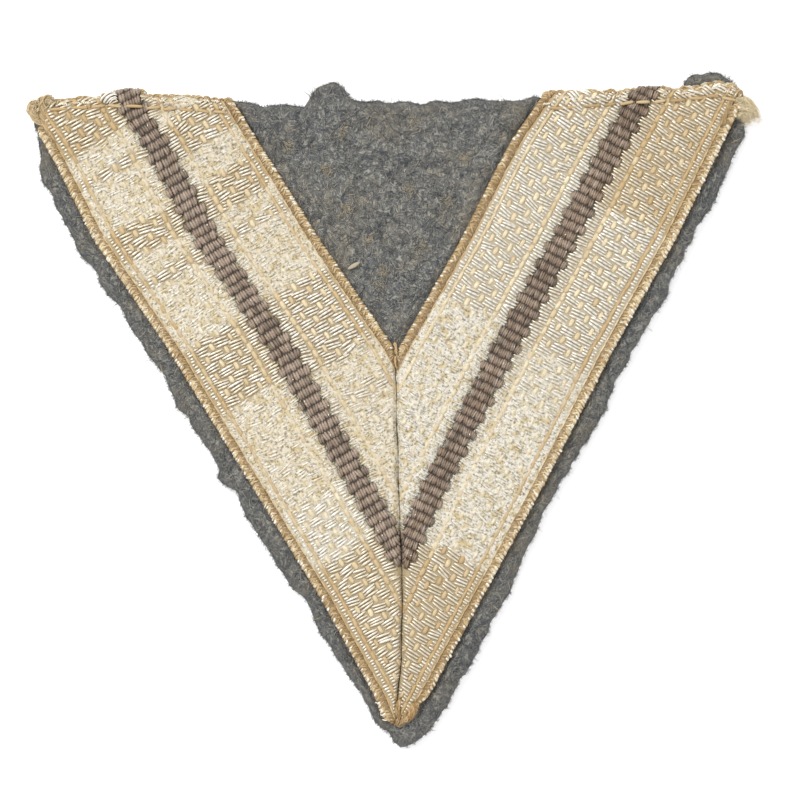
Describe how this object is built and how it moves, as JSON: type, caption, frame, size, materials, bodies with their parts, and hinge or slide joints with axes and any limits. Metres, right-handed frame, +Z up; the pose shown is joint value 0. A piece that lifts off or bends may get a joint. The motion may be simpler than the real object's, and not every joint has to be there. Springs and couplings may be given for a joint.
{
  "type": "rank chevron",
  "caption": "V-shaped sleeve rank badge of woven metal braid with a brown ribbed stripe, mitred at the point and laid on wool felt.",
  "frame": {"origin": "under the middle of the bounding box, on the back face of the felt", "axes": "+Z up through the braided face, +Y away from the point of the V, +X to the right of somebody who looks at the face"},
  "size_m": [0.0985, 0.0901, 0.0037],
  "materials": {
    "felt": "matte grey-blue wool felt",
    "metal_braid": "woven silver thread with pale yellow warp",
    "brown_stripe": "ribbed brown silk",
    "yellow_thread": "frayed yellow thread"
  },
  "bodies": {
    "root": {"felt_backing": "felt", "braid_left": "metal_braid", "braid_right": "metal_braid", "stripe_left": "brown_stripe", "stripe_right": "brown_stripe", "corner_tuft_left": "yellow_thread", "corner_tuft_right": "yellow_thread", "tip_fold": "yellow_thread"}
  },
  "joints": []
}
